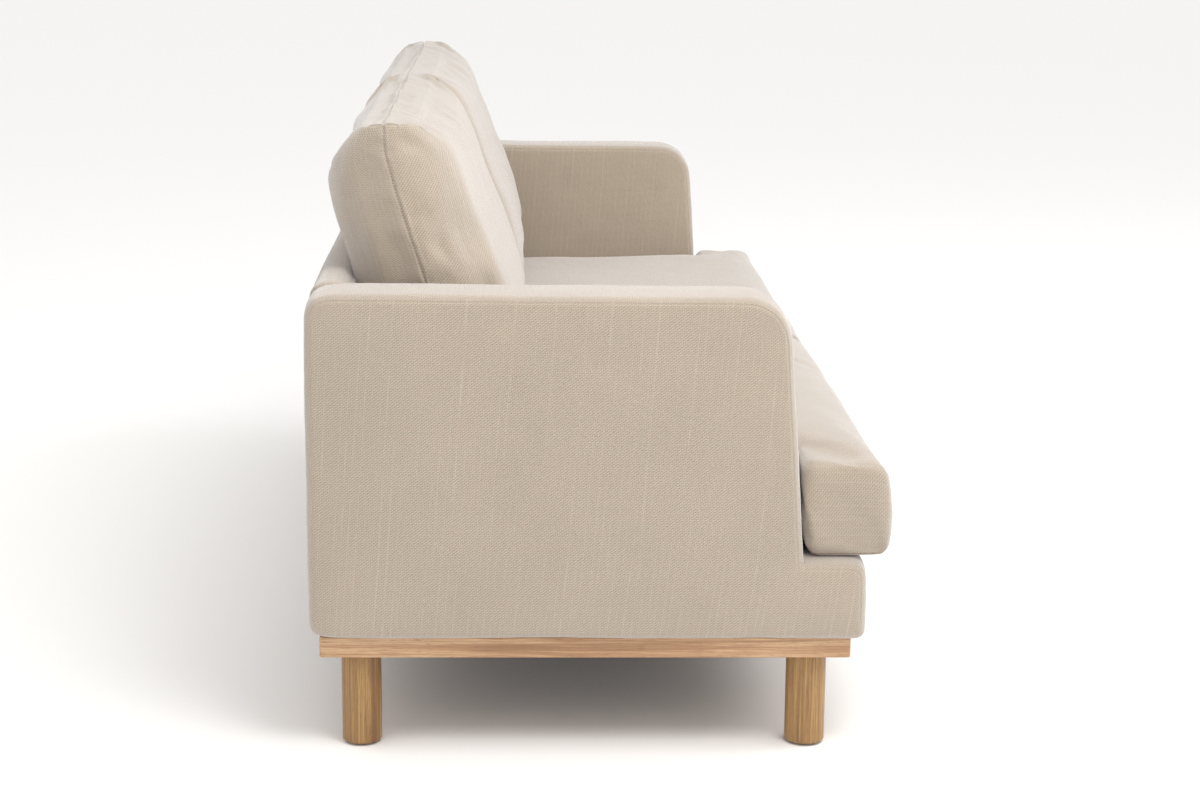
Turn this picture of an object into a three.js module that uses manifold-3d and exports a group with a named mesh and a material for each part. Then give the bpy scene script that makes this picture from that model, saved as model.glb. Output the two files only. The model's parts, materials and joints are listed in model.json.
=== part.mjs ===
// Upholstered sofa on a wooden plinth with four round legs.
// Millimetres, +Z up, the front of the sofa faces -Y, and left and right are as
// seen from in front of it, so right is +X. The floor is Z = 0.

import * as THREE from 'three';
import { mergeVertices } from 'three/addons/utils/BufferGeometryUtils.js';
import Module from 'manifold-3d';

const wasm = await Module();
wasm.setup();

// Overall size and the heights it stacks up to.
const WIDTH = 2000;
const REAR_Y = 410;
const CUSHION_FRONT_Y = -410;
const BASE_FRONT_Y = -372;
const PLINTH_Z = 137;
const BASE_Z = 168;
const DECK_Z = 277;
const SEAT_Z = 421;
const ARM_FRONT_Z = 655;
const ARM_REAR_Z = 663;
const BACK_CUSHION_TOP_Z = 886;

// Thicknesses.
const ARM_THICK = 110;
const BACK_THICK = 60;
const COVER = 12; // show fabric with the wadding that is bonded to it
const SKIN = 4; // cushion cover and its liner
const BOARD = 22; // frame timber
const GAP = 0.3; // between pieces that touch
const REVEAL = 3; // between pieces that lift apart
const HEM_ROOM = 2.5; // dust cover and turned hem under the base frame
const WEBBING_ROOM = 3; // webbing over the rails, under the deck cover
const BACK_ROOM = 6; // padding between the rear rail and the back cover

// Legs and plinth.
const LEG_RADIUS = 28.5;
const LEG_X = 950;
const LEG_FRONT_Y = -297;
const LEG_REAR_Y = 340;
const LEG_EASE = 3;
const TURNED_EASE = 1; // on the glides and the bolts
const GLIDE_THICK = 3;
const GLIDE_RADIUS = 15;
const GLIDE_PIN_RADIUS = 3;
const GLIDE_PIN_LENGTH = 12;
const BOLT_RADIUS = 4;
const BOLT_HOLE_RADIUS = 5;
const BOLT_Z = 100;
const BOLT_LENGTH = 100;
const BOLT_TIP = 6;
const PLINTH_X = 990;
const PLINTH_FRONT_Y = -355;
const PLINTH_REAR_Y = 397;
const PLINTH_BOARD = 80;
const PLINTH_CORNER = 5;
const PLINTH_EASE = 2;

const INNER_X = WIDTH / 2 - ARM_THICK; // inner face of an arm
const FRAME_X = 962; // inner face of a base side rail
const FRAME_Z = BASE_Z + HEM_ROOM; // underside of the base frame
const RAIL_TOP_Z = DECK_Z - COVER - WEBBING_ROOM;
const FRAME_FRONT_Y = BASE_FRONT_Y + COVER + GAP;
const FRAME_REAR_Y = REAR_Y - COVER - BACK_ROOM;
const POST_X = 917; // inner face of an arm post
const POST_TOP_Z = 600;

const SIDES = { left: -1, right: 1 };
const sofa = new THREE.Group();

// ---------------------------------------------------------------- materials

const paint = (color, roughness, metalness = 0) =>
  new THREE.MeshStandardMaterial({ color, roughness, metalness });

const FABRIC = paint(0xcbbeab, 0.95);
const OAK = paint(0xc29a6b, 0.55);
const PINE = paint(0xd8bd8c, 0.8);
const HARDBOARD = paint(0x8a6a48, 0.85);
const FOAM = paint(0xe9e2c4, 0.9);
const FIBRE = paint(0xf2f1ec, 0.95);
const LINING = paint(0x2c2b2a, 0.95);
const STRAP = paint(0x6b5e4c, 0.9);
const STEEL = paint(0xb5b7b9, 0.35, 1);
const NYLON = paint(0x3b3a38, 0.5);

// ------------------------------------------------------------ shape helpers

// A closed outline through corners [x, y, radius], each rounded by its radius.
// It always runs anticlockwise, so that holes can run clockwise.
function outline(corners) {
  const clockwise = THREE.ShapeUtils.isClockWise(corners.map(([x, y]) => ({ x, y })));
  const ring = clockwise ? corners.toReversed() : corners;
  const shape = new THREE.Shape();
  ring.forEach(([x, y, radius], i) => {
    const corner = new THREE.Vector2(x, y);
    const towards = ([nx, ny]) =>
      corner.clone().add(new THREE.Vector2(nx - x, ny - y).setLength(radius));
    const before = towards(ring.at(i - 1));
    const after = towards(ring[(i + 1) % ring.length]);
    if (i === 0) shape.moveTo(before.x, before.y);
    else shape.lineTo(before.x, before.y);
    if (radius > 0) shape.quadraticCurveTo(x, y, after.x, after.y);
  });
  return shape;
}

// An outline given thickness along local Z, its edges rounded by `round`.
// `inset` shrinks the whole solid, which makes the hollow or filling of a shell.
function padded(shape, thickness, round, inset = 0) {
  const geometry = new THREE.ExtrudeGeometry(shape, {
    depth: thickness - 2 * round,
    bevelThickness: round - inset,
    bevelSize: round - inset,
    bevelOffset: -round,
    bevelSegments: 2,
    curveSegments: 3,
  });
  geometry.translate(0, 0, round);
  return geometry;
}

const flat = (shape, depth) =>
  new THREE.ExtrudeGeometry(shape, { depth, bevelEnabled: false, curveSegments: 4 });

// A box between two limits on each axis.
function block([x0, x1], [y0, y1], [z0, z1]) {
  const geometry = new THREE.BoxGeometry(x1 - x0, y1 - y0, z1 - z0);
  geometry.translate((x0 + x1) / 2, (y0 + y1) / 2, (z0 + z1) / 2);
  return geometry;
}

function toManifold(geometry) {
  const bare = geometry.clone();
  bare.deleteAttribute('normal');
  bare.deleteAttribute('uv');
  const merged = mergeVertices(bare, 1e-4);
  return new wasm.Manifold(new wasm.Mesh({
    numProp: 3,
    vertProperties: new Float32Array(merged.attributes.position.array),
    triVerts: new Uint32Array(merged.index.array),
  }));
}

// The first geometry with all the others cut from it.
function cut(geometry, ...tools) {
  const solid = tools.reduce((left, tool) => left.subtract(toManifold(tool)), toManifold(geometry));
  const mesh = solid.getMesh();
  const result = new THREE.BufferGeometry();
  result.setAttribute('position', new THREE.BufferAttribute(mesh.vertProperties, 3));
  result.setIndex(new THREE.BufferAttribute(mesh.triVerts, 1));
  return result;
}

// ---------------------------------------------------------- placing helpers

function add(name, geometry, material, position = [0, 0, 0]) {
  const mesh = new THREE.Mesh(geometry, material);
  mesh.name = name;
  mesh.position.set(...position);
  sofa.add(mesh);
  return mesh;
}

// A side profile drawn in (Y, Z), standing across the sofa from x0 along +X.
function addAcross(name, geometry, material, x0) {
  add(name, geometry, material, [x0, 0, 0]).rotation.set(Math.PI / 2, Math.PI / 2, 0);
}

// X limits on the right, mirrored for the left.
const onSide = (side, [x0, x1]) => (side > 0 ? [x0, x1] : [-x1, -x0]);

function plan([x0, x1], [y0, y1], radius = 0) {
  return outline([[x0, y0, radius], [x1, y0, radius], [x1, y1, radius], [x0, y1, radius]]);
}

// Cuts eight-sided holes of the bolt's clearance size through a shape.
function withBoltHoles(shape, centres) {
  const corners = 8;
  for (const [x, y] of centres) {
    const ring = Array.from({ length: corners }, (_, i) => {
      const angle = (-2 * Math.PI * i) / corners;
      return new THREE.Vector2(
        x + BOLT_HOLE_RADIUS * Math.cos(angle),
        y + BOLT_HOLE_RADIUS * Math.sin(angle),
      );
    });
    shape.holes.push(new THREE.Path(ring));
  }
  return shape;
}

// -------------------------------------------------------------------- legs

const LEG_YS = { front: LEG_FRONT_Y, rear: LEG_REAR_Y };
const boltCentres = (side) => Object.values(LEG_YS).map((y) => [side * LEG_X, y]);

// A turned leg with a blind hole for its bolt above and for the glide's pin below.
function legGeometry() {
  const bottom = GLIDE_THICK + GAP;
  const top = PLINTH_Z;
  const profile = [
    [0, GLIDE_THICK + GLIDE_PIN_LENGTH + GAP],
    [GLIDE_PIN_RADIUS + GAP, GLIDE_THICK + GLIDE_PIN_LENGTH + GAP],
    [GLIDE_PIN_RADIUS + GAP, bottom],
    [LEG_RADIUS - LEG_EASE, bottom],
    [LEG_RADIUS, bottom + LEG_EASE],
    [LEG_RADIUS, top],
    [BOLT_HOLE_RADIUS, top],
    [BOLT_HOLE_RADIUS, BOLT_Z - GAP],
    [0, BOLT_Z - GAP],
  ];
  return lathe(profile, 24);
}

function glideGeometry() {
  return lathe([
    [0, 0],
    [GLIDE_RADIUS - TURNED_EASE, 0],
    [GLIDE_RADIUS, TURNED_EASE],
    [GLIDE_RADIUS, GLIDE_THICK],
    [GLIDE_PIN_RADIUS, GLIDE_THICK],
    [GLIDE_PIN_RADIUS, GLIDE_THICK + GLIDE_PIN_LENGTH],
    [0, GLIDE_THICK + GLIDE_PIN_LENGTH],
  ], 16);
}

function boltGeometry() {
  const top = BOLT_Z + BOLT_LENGTH;
  return lathe([
    [0, BOLT_Z],
    [BOLT_RADIUS - TURNED_EASE, BOLT_Z],
    [BOLT_RADIUS, BOLT_Z + TURNED_EASE],
    [BOLT_RADIUS, top - BOLT_TIP],
    [BOLT_RADIUS / 3, top],
    [0, top],
  ], 12);
}

// A profile of [radius, height] turned about the Z axis.
function lathe(profile, segments) {
  const geometry = new THREE.LatheGeometry(profile.map((p) => new THREE.Vector2(...p)), segments);
  geometry.rotateX(Math.PI / 2);
  return geometry;
}

for (const [sideName, side] of Object.entries(SIDES)) {
  for (const [end, y] of Object.entries(LEG_YS)) {
    const at = [side * LEG_X, y, 0];
    add(`leg_${end}_${sideName}`, legGeometry(), OAK, at);
    add(`glide_${end}_${sideName}`, glideGeometry(), NYLON, at);
    add(`leg_bolt_${end}_${sideName}`, boltGeometry(), STEEL, at);
  }
}

// ------------------------------------------------------------------ plinth

const plinthHeight = BASE_Z - PLINTH_Z - 2 * GAP;
const plinthInnerX = PLINTH_X - PLINTH_BOARD;
const plinthAt = [0, 0, PLINTH_Z + GAP];

for (const [sideName, side] of Object.entries(SIDES)) {
  const x = onSide(side, [plinthInnerX, PLINTH_X]);
  const board = plan(x, [PLINTH_FRONT_Y, PLINTH_REAR_Y], PLINTH_CORNER);
  const shape = withBoltHoles(board, boltCentres(side));
  add(`plinth_${sideName}`, padded(shape, plinthHeight, PLINTH_EASE), OAK, plinthAt);
}
const plinthEnds = {
  front: [PLINTH_FRONT_Y, PLINTH_FRONT_Y + PLINTH_BOARD],
  rear: [PLINTH_REAR_Y - PLINTH_BOARD, PLINTH_REAR_Y],
};
for (const [end, y] of Object.entries(plinthEnds)) {
  const shape = plan([GAP - plinthInnerX, plinthInnerX - GAP], y, PLINTH_CORNER);
  add(`plinth_${end}`, padded(shape, plinthHeight, PLINTH_EASE), OAK, plinthAt);
}

// -------------------------------------------------------------- base frame

const frameHeight = [FRAME_Z, RAIL_TOP_Z];
const railEnd = FRAME_X - GAP;

add('base_rail_front',
  block([-railEnd, railEnd], [FRAME_FRONT_Y, FRAME_FRONT_Y + BOARD], frameHeight), PINE);
add('base_rail_rear',
  block([-railEnd, railEnd], [FRAME_REAR_Y - BOARD, FRAME_REAR_Y], frameHeight), PINE);
add('base_rail_centre', block([-BOARD / 2, BOARD / 2],
  [FRAME_FRONT_Y + BOARD + GAP, FRAME_REAR_Y - BOARD - GAP], frameHeight), PINE);
for (const [sideName, side] of Object.entries(SIDES)) {
  add(`base_rail_${sideName}`, block(onSide(side, [FRAME_X, FRAME_X + BOARD]),
    [FRAME_FRONT_Y, FRAME_REAR_Y], frameHeight), PINE);
}

// Glued corner blocks that the leg bolts screw into.
const CORNER_BLOCK = 80;
const CORNER_BLOCK_HEIGHT = 45;
for (const [sideName, side] of Object.entries(SIDES)) {
  for (const [end, y] of Object.entries(LEG_YS)) {
    const inward = end === 'front' ? 1 : -1;
    const cornerX = side * railEnd;
    const cornerY = end === 'front'
      ? FRAME_FRONT_Y + BOARD + GAP
      : FRAME_REAR_Y - BOARD - GAP;
    const shape = outline([
      [cornerX, cornerY, 0],
      [cornerX, cornerY + inward * CORNER_BLOCK, 0],
      [cornerX - side * CORNER_BLOCK, cornerY, 0],
    ]);
    withBoltHoles(shape, [[side * LEG_X, y]]);
    add(`corner_block_${end}_${sideName}`, flat(shape, CORNER_BLOCK_HEIGHT), PINE, [0, 0, FRAME_Z]);
  }
}

// Elastic webbing straps from front to rear, over the top of the rails.
const STRAP_COUNT = 6;
const STRAP_WIDTH = 60;
const STRAP_THICK = 2;
const STRAP_PITCH = 290;
for (let i = 0; i < STRAP_COUNT; i += 1) {
  const x = (i - (STRAP_COUNT - 1) / 2) * STRAP_PITCH;
  add(`webbing_strap_${i + 1}`, block([x - STRAP_WIDTH / 2, x + STRAP_WIDTH / 2],
    [FRAME_FRONT_Y + GAP, FRAME_REAR_Y - GAP],
    [RAIL_TOP_Z + GAP, RAIL_TOP_Z + GAP + STRAP_THICK]), STRAP);
}

// --------------------------------------------------- arm and back framework

const ARM_POST_Y = [-240, -200];
const ARM_RAIL_HEIGHT = 28;
const ARM_RAIL_SETBACK = 30; // clear of the rounded top corner of the arm
const REAR_POST_DEPTH = 44;
const REAR_POST_SETBACK = 2;
const REAR_POST_TOP_Z = 636;
const REAR_POST_Y = [
  FRAME_REAR_Y - REAR_POST_SETBACK - REAR_POST_DEPTH,
  FRAME_REAR_Y - REAR_POST_SETBACK,
];
const SIDE_PANEL = { y: [-240, 388], z: [FRAME_Z, 620], thick: 3.2 };

for (const [sideName, side] of Object.entries(SIDES)) {
  const x = onSide(side, [POST_X, railEnd]);
  add(`arm_post_${sideName}`, block(x, ARM_POST_Y, [FRAME_Z, POST_TOP_Z]), PINE);
  add(`rear_post_${sideName}`, block(x, REAR_POST_Y, [RAIL_TOP_Z + GAP, REAR_POST_TOP_Z]), PINE);
  add(`arm_rail_${sideName}`, block(x, [ARM_POST_Y[0] + ARM_RAIL_SETBACK, REAR_POST_Y[0] - GAP],
    [POST_TOP_Z + GAP, POST_TOP_Z + ARM_RAIL_HEIGHT]), PINE);
  const panelX = onSide(side, [FRAME_X + BOARD + GAP, FRAME_X + BOARD + GAP + SIDE_PANEL.thick]);
  add(`side_panel_${sideName}`, block(panelX, SIDE_PANEL.y, SIDE_PANEL.z), HARDBOARD);
}

const BACK_RAIL_FRONT_Y = REAR_Y - BACK_THICK + COVER + 1;
const BACK_RAIL_Y = [BACK_RAIL_FRONT_Y, BACK_RAIL_FRONT_Y + BOARD];
const LOWER_RAIL_Z = [290, 330];
const backRailX = [GAP - POST_X, POST_X - GAP];
add('back_rail_top', block(backRailX, BACK_RAIL_Y, [POST_TOP_Z, REAR_POST_TOP_Z]), PINE);
add('back_rail_lower', block(backRailX, BACK_RAIL_Y, LOWER_RAIL_Z), PINE);
add('back_post_centre', block([-BOARD, BOARD], BACK_RAIL_Y,
  [LOWER_RAIL_Z[1] + GAP, POST_TOP_Z - GAP]), PINE);

// ----------------------------------------------------------- fixed covers

// Each arm cover is a stepped shell: the arm above, and the end of the base below
// it running forward under the ear of the seat cushion.
const ARM_FOOT_Y = -283;
const ARM_TOP_Y = -257;
const BASE_CORNER = 20;
const ARM_OUTLINE = outline([
  [BASE_FRONT_Y, BASE_Z, BASE_CORNER],
  [BASE_FRONT_Y, DECK_Z, BASE_CORNER],
  [ARM_FOOT_Y, DECK_Z, 0],
  [ARM_TOP_Y, ARM_FRONT_Z, 60],
  [REAR_Y, ARM_REAR_Z, 38],
  [REAR_Y, BASE_Z, BASE_CORNER],
]);
const SLIT_ROOM = 4;
const OVERRUN = 20; // how far a cutting block runs past an open side

function armCoverGeometry(side) {
  const inset = COVER - 0.5; // just less than the edge radius, so the hollow keeps a bevel
  // Distances are measured from the inner face of the arm, outwards.
  const depth = ([a, b]) => (side > 0 ? [a, b] : [ARM_THICK - b, ARM_THICK - a]);
  const tool = (yLimits, zLimits, depthLimits) => block(yLimits, zLimits, depth(depthLimits));
  const insideY = [BASE_FRONT_Y + COVER, REAR_Y - COVER];
  return cut(
    padded(ARM_OUTLINE, ARM_THICK, COVER),
    padded(ARM_OUTLINE, ARM_THICK, COVER, inset),
    // Open underneath, and open to the base frame on the inside.
    tool(insideY, [0, DECK_Z - COVER], [-OVERRUN, ARM_THICK - COVER]),
    // Slit that lets the back rails through to the rear post.
    tool([REAR_POST_Y[0] - SLIT_ROOM, REAR_Y - COVER],
      [DECK_Z - COVER - 1, REAR_POST_TOP_Z + SLIT_ROOM], [-OVERRUN, COVER + 1]),
  );
}

for (const [sideName, side] of Object.entries(SIDES)) {
  addAcross(`arm_cover_${sideName}`, armCoverGeometry(side), FABRIC,
    side > 0 ? INNER_X : -WIDTH / 2);
}

// The back leans: its inner face comes forward towards the deck.
const BACK_TOP_Z = 661;
const BACK_FOOT_Y = 312;
const backInnerY = REAR_Y - BACK_THICK;
const backSection = outline([
  [REAR_Y, BASE_Z, 2],
  [REAR_Y, BACK_TOP_Z, 30],
  [backInnerY, BACK_TOP_Z, 22],
  [BACK_FOOT_Y, DECK_Z + 2, 0],
  [BACK_FOOT_Y + COVER, DECK_Z + 2, 0],
  [backInnerY + COVER, BACK_TOP_Z - COVER, 10],
  [REAR_Y - COVER, BACK_TOP_Z - COVER, 18],
  [REAR_Y - COVER, BASE_Z, 2],
]);
const betweenArms = 2 * (INNER_X - GAP);
addAcross('back_cover', flat(backSection, betweenArms), FABRIC, GAP - INNER_X);

const BORDER_LIP = 72; // how far the front border turns back over the deck
const borderSection = outline([
  [BASE_FRONT_Y, BASE_Z, 2],
  [BASE_FRONT_Y, DECK_Z, 14],
  [BASE_FRONT_Y + BORDER_LIP, DECK_Z, 0],
  [BASE_FRONT_Y + BORDER_LIP, DECK_Z - COVER, 0],
  [BASE_FRONT_Y + COVER, DECK_Z - COVER, 0],
  [BASE_FRONT_Y + COVER, BASE_Z, 2],
]);
addAcross('front_border_cover', flat(borderSection, betweenArms), FABRIC, GAP - INNER_X);

add('deck_cover', block([GAP - INNER_X, INNER_X - GAP],
  [BASE_FRONT_Y + BORDER_LIP + GAP, BACK_FOOT_Y - GAP], [DECK_Z - COVER, DECK_Z]), LINING);

const DUST_COVER_INSET = 32;
const DUST_COVER_THICK = 1.6;
const dustShape = withBoltHoles(
  plan([DUST_COVER_INSET - WIDTH / 2, WIDTH / 2 - DUST_COVER_INSET],
    [BASE_FRONT_Y + DUST_COVER_INSET, REAR_Y - DUST_COVER_INSET]),
  [...boltCentres(-1), ...boltCentres(1)],
);
add('dust_cover', flat(dustShape, DUST_COVER_THICK), LINING, [0, 0, BASE_Z + 2 * GAP]);

// -------------------------------------------------------------- cushions

// A zip lies in a slit in its cover's wall. `limits` are the slit's own.
function zipGeometry(...limits) {
  return block(...limits.map(([a, b]) => [a + GAP, b - GAP]));
}

// The limits of a cutting block that runs just past both faces of a wall.
const past = ([a, b]) => [a - 1, b + 1];

const ZIP_WIDTH = 8;
const SEAT_ZIP_X = [150, 740];
const BACK_ZIP_LENGTH = 600;
const BACK_ZIP_Y = 215;
const SEAT_CORNER = 40;
const EAR_REAR_CORNER = 36;
const SEAT_THICK = SEAT_Z - DECK_Z - REVEAL;
const SEAT_ROUND = 22;
const SEAT_REAR_Y = 305;
const EAR_X = 985;
const EAR_REAR_Y = -287;

// Seen from above, with an ear that reaches round the front of the arm.
function seatPlan(side) {
  return outline([
    [side * (REVEAL / 2), CUSHION_FRONT_Y, SEAT_CORNER],
    [side * EAR_X, CUSHION_FRONT_Y, SEAT_CORNER],
    [side * EAR_X, EAR_REAR_Y, EAR_REAR_CORNER],
    [side * (INNER_X - REVEAL), EAR_REAR_Y, 0],
    [side * (INNER_X - REVEAL), SEAT_REAR_Y, SEAT_CORNER],
    [side * (REVEAL / 2), SEAT_REAR_Y, SEAT_CORNER],
  ]);
}

for (const [sideName, side] of Object.entries(SIDES)) {
  const shape = seatPlan(side);
  const zipX = onSide(side, SEAT_ZIP_X);
  const wall = [SEAT_REAR_Y - SKIN, SEAT_REAR_Y];
  const zipZ = [(SEAT_THICK - ZIP_WIDTH) / 2, (SEAT_THICK + ZIP_WIDTH) / 2];
  const at = [0, 0, DECK_Z + REVEAL];
  add(`seat_cushion_cover_${sideName}`, cut(
    padded(shape, SEAT_THICK, SEAT_ROUND),
    padded(shape, SEAT_THICK, SEAT_ROUND, SKIN),
    block(zipX, past(wall), zipZ),
  ), FABRIC, at);
  add(`seat_zip_${sideName}`, zipGeometry(zipX, wall, zipZ), NYLON, at);
  add(`seat_foam_${sideName}`, padded(shape, SEAT_THICK, SEAT_ROUND, SKIN + GAP), FOAM, at);
}

// A back cushion leans on the back and stands on the seat cushion. It is a fat
// wedge from the side, thinnest at the top, and its upper part rolls over the back.
const BACK_CUSHION_X = [REVEAL / 2, 870];
const BACK_CUSHION_ROUND = 30;
const CUSHION_FOOT_Z = SEAT_Z + REVEAL;
const backCushionSection = outline([
  [325, CUSHION_FOOT_Z, 50],
  [346, 650, 60],
  [386, 780, 50],
  [352, BACK_CUSHION_TOP_Z, 42],
  [262, BACK_CUSHION_TOP_Z, 42],
  [160, 700, 80],
  [98, 530, 50],
  [94, CUSHION_FOOT_Z, 50],
]);

for (const [sideName, side] of Object.entries(SIDES)) {
  const [x0, x1] = onSide(side, BACK_CUSHION_X);
  const thickness = x1 - x0;
  const along = [(thickness - BACK_ZIP_LENGTH) / 2, (thickness + BACK_ZIP_LENGTH) / 2];
  const wall = [CUSHION_FOOT_Z, CUSHION_FOOT_Z + SKIN];
  const zipY = [BACK_ZIP_Y - ZIP_WIDTH / 2, BACK_ZIP_Y + ZIP_WIDTH / 2];
  addAcross(`back_cushion_cover_${sideName}`, cut(
    padded(backCushionSection, thickness, BACK_CUSHION_ROUND),
    padded(backCushionSection, thickness, BACK_CUSHION_ROUND, SKIN),
    block(zipY, past(wall), along),
  ), FABRIC, x0);
  addAcross(`back_zip_${sideName}`, zipGeometry(zipY, wall, along), NYLON, x0);
  addAcross(`back_fill_${sideName}`,
    padded(backCushionSection, thickness, BACK_CUSHION_ROUND, SKIN + GAP), FIBRE, x0);
}

export default sofa;
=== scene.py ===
"""The looks of an upholstered sofa with wooden legs, built round its CAD frame.

Metres, +Z up. The front faces -Y, and the camera looks along +X at the left end.
"""

import json
import math

import bmesh
import bpy
from mathutils import Matrix, Vector, noise
from mathutils.bvhtree import BVHTree
from mathutils.kdtree import KDTree


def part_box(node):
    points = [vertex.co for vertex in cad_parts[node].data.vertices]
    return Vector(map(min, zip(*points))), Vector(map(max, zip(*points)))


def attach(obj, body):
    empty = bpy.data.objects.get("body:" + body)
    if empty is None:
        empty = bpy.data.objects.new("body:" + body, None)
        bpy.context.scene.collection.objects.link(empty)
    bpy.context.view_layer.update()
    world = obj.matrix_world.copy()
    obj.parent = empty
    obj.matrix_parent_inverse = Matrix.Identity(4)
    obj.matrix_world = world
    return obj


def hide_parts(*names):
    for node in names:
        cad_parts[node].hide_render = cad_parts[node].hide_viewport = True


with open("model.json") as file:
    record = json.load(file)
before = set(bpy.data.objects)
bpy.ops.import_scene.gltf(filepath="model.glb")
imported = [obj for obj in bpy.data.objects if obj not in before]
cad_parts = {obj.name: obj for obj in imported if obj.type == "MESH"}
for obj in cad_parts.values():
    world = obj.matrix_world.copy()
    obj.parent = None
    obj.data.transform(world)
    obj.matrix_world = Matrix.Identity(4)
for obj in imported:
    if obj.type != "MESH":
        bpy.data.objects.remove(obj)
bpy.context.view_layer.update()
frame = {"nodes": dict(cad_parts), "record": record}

SIDES = {"left": -1, "right": 1}

# ------------------------------------------------------------------ measures

arm_low, arm_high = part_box("arm_cover_right")
seat_low, seat_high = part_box("seat_cushion_cover_right")
back_low, back_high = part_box("back_cushion_cover_right")
shell_low, shell_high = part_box("back_cover")
border_low, border_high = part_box("front_border_cover")

ARM_THICK = arm_high.x - arm_low.x
DECK_Z = border_high.z
ARM_FRONT_Y = -0.283
ARM_FRONT_LEAN = 0.026  # how far the arm's front edge leans back over its height
ARM_TOP_FALL = 0.006  # how much lower the arm is at its front
ARM_TOP_Z = 0.659

SEWN_IN = 0.014  # how far the front border, and twice that the back, run on into the arm covers
PANEL_SEAM = 0.0075  # how far in from its outline a tight cover has its seam
ARM_HEM_FREE = 0.012  # how far above its hem the seam of an arm panel ends
BACK_HEM_FREE = 0.020
TOUCH = 1e-6  # points closer than this count as the same place
LINE_SLOP = 2e-4  # how far a grid line may be from the seam it carries

# Seams: the groove's width and depth, and the height of the puckers beside it.
CUSHION_SEAM = {"width": 0.0021, "depth": 0.0042}
TIGHT_SEAM = {"width": 0.0018, "depth": 0.0012, "pucker": 0.0005}

WEAVE_DARK = (0.228, 0.178, 0.131)
WEAVE_LIGHT = (0.468, 0.384, 0.302)
SLUB_PALE = (0.635, 0.560, 0.460)


# ----------------------------------------------------------------- materials

class Nodes:
    """A few short ways to add nodes to one material."""

    def __init__(self, name):
        self.material = bpy.data.materials.new(name)
        self.material.use_nodes = True
        self.tree = self.material.node_tree
        self.shader = self.tree.nodes["Principled BSDF"]

    def new(self, kind, **settings):
        node = self.tree.nodes.new(kind)
        for key, value in settings.items():
            setattr(node, key, value)
        return node

    def feed(self, socket, value):
        if isinstance(value, bpy.types.NodeSocket):
            self.tree.links.new(value, socket)
        else:
            socket.default_value = value

    def math(self, operation, a, b=0.0, c=0.0):
        node = self.new("ShaderNodeMath", operation=operation)
        for socket, value in zip(node.inputs, (a, b, c)):
            self.feed(socket, value)
        return node.outputs[0]

    def mapped(self, vector, scale=(1, 1, 1), turn=(0, 0, 0)):
        node = self.new("ShaderNodeMapping")
        self.feed(node.inputs["Vector"], vector)
        node.inputs["Scale"].default_value = scale
        node.inputs["Rotation"].default_value = turn
        return node.outputs[0]

    def noise(self, vector, scale, detail=2.0, roughness=0.5, distortion=0.0):
        node = self.new("ShaderNodeTexNoise")
        self.feed(node.inputs["Vector"], vector)
        node.inputs["Scale"].default_value = scale
        node.inputs["Detail"].default_value = detail
        node.inputs["Roughness"].default_value = roughness
        node.inputs["Distortion"].default_value = distortion
        return node.outputs["Fac"]

    def wave(self, vector, scale, distortion=0.0, detail_scale=1.0):
        """Even bands across X, 0.314 / scale metres apart."""
        node = self.new("ShaderNodeTexWave", wave_type="BANDS", wave_profile="SIN")
        self.feed(node.inputs["Vector"], vector)
        node.inputs["Scale"].default_value = scale
        node.inputs["Distortion"].default_value = distortion
        node.inputs["Detail Scale"].default_value = detail_scale
        return node.outputs["Fac"]

    def ramp(self, value, *stops):
        """Stops are (position, colour or grey level)."""
        node = self.new("ShaderNodeValToRGB")
        self.feed(node.inputs["Fac"], value)
        elements = node.color_ramp.elements
        while len(elements) < len(stops):
            elements.new(0.5)
        for element, (position, colour) in zip(elements, stops):
            element.position = position
            if isinstance(colour, (int, float)):
                colour = (colour,) * 3
            element.color = (*colour, 1)
        return node.outputs["Color"]

    def mix(self, factor, a, b, blend="MIX"):
        node = self.new("ShaderNodeMix", data_type="RGBA", blend_type=blend)
        self.feed(node.inputs["Factor"], factor)
        for socket, value in ((node.inputs[6], a), (node.inputs[7], b)):
            if isinstance(value, tuple):
                value = (*value, 1)
            self.feed(socket, value)
        return node.outputs[2]

    def bump(self, height, distance, strength=1.0):
        node = self.new("ShaderNodeBump")
        self.feed(node.inputs["Height"], height)
        node.inputs["Distance"].default_value = distance
        node.inputs["Strength"].default_value = strength
        self.feed(self.shader.inputs["Normal"], node.outputs[0])

    def finish(self, colour, roughness, **fixed):
        """The finished material; `fixed` names sockets that are the same all over it."""
        self.feed(self.shader.inputs["Base Color"], colour)
        self.feed(self.shader.inputs["Roughness"], roughness)
        for socket, value in fixed.items():
            self.shader.inputs[socket.replace("_", " ")].default_value = value
        return self.material


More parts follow.
